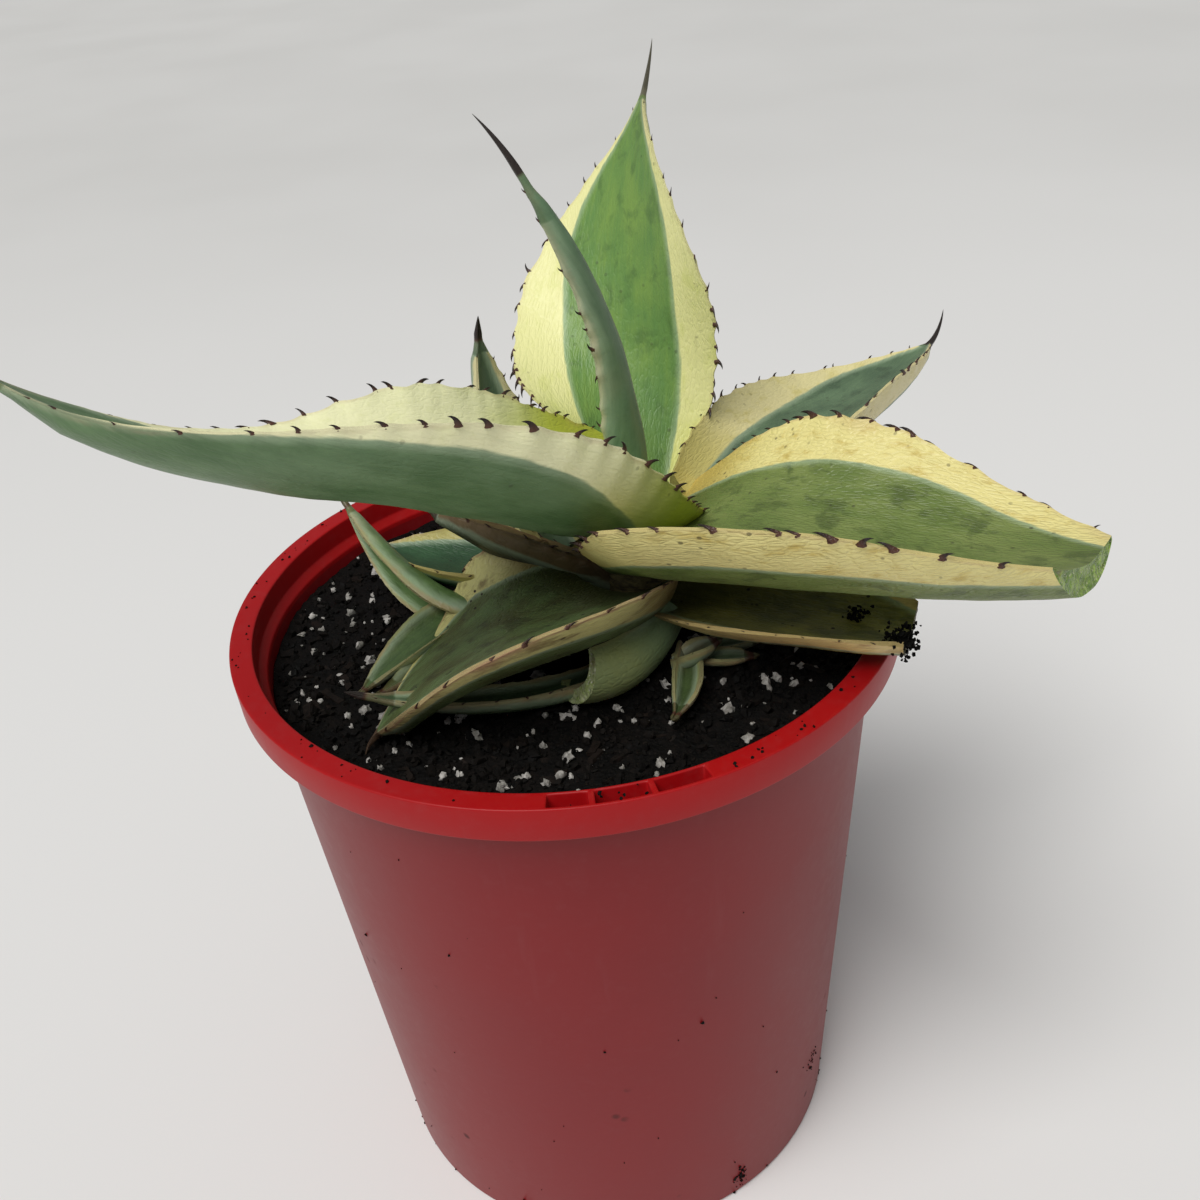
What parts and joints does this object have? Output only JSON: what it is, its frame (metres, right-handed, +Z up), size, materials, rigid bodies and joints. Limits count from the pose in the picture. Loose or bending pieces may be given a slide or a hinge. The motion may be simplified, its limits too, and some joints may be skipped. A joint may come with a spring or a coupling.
{
  "type": "potted agave",
  "caption": "Variegated agave with thick toothed leaves and small offsets, growing in dark potting mix in a tapered red plastic nursery pot.",
  "frame": {"origin": "centre of the pot's underside, on the surface the pot stands on", "axes": "+Z up along the pot's axis; the label slot in the rim is towards -Y, the large whole leaf points to -X and the cut leaf to +X"},
  "size_m": [0.2733, 0.2098, 0.3456],
  "materials": {
    "pot": "satin red plastic with dust and soil specks",
    "soil": "damp dark potting mix with bark and white perlite",
    "stem": "rough plant core with dry scales",
    "leaf_green": "waxy green leaf with pale yellow margins",
    "leaf_grey": "bloomy grey-green leaf back with a cream margin",
    "leaf_pale": "finely wrinkled olive leaf with ochre margins"
  },
  "bodies": {
    "root": {"pot": "pot", "soil": "soil", "stem": "stem", "pup_left_stem": "stem", "pup_right_stem": "stem", "leaf_centre": "leaf_grey", "leaf_upright": "leaf_green", "leaf_left_large": "leaf_grey", "leaf_right_large": "leaf_pale", "leaf_right_back": "leaf_green", "leaf_back_small": "leaf_grey", "leaf_left_under": "leaf_green", "leaf_front_left": "leaf_green", "leaf_right_low": "leaf_pale", "leaf_left_low": "leaf_green", "leaf_front_stub": "leaf_grey", "leaf_front_under": "leaf_green", "pup_left_leaf_up": "leaf_green", "pup_left_leaf_low": "leaf_green", "pup_left_leaf_inner": "leaf_green", "pup_right_leaf_down": "leaf_green", "pup_right_leaf_folded": "leaf_green", "pup_right_leaf_side": "leaf_green", "pup_right_leaf_far": "leaf_green"}
  },
  "joints": []
}
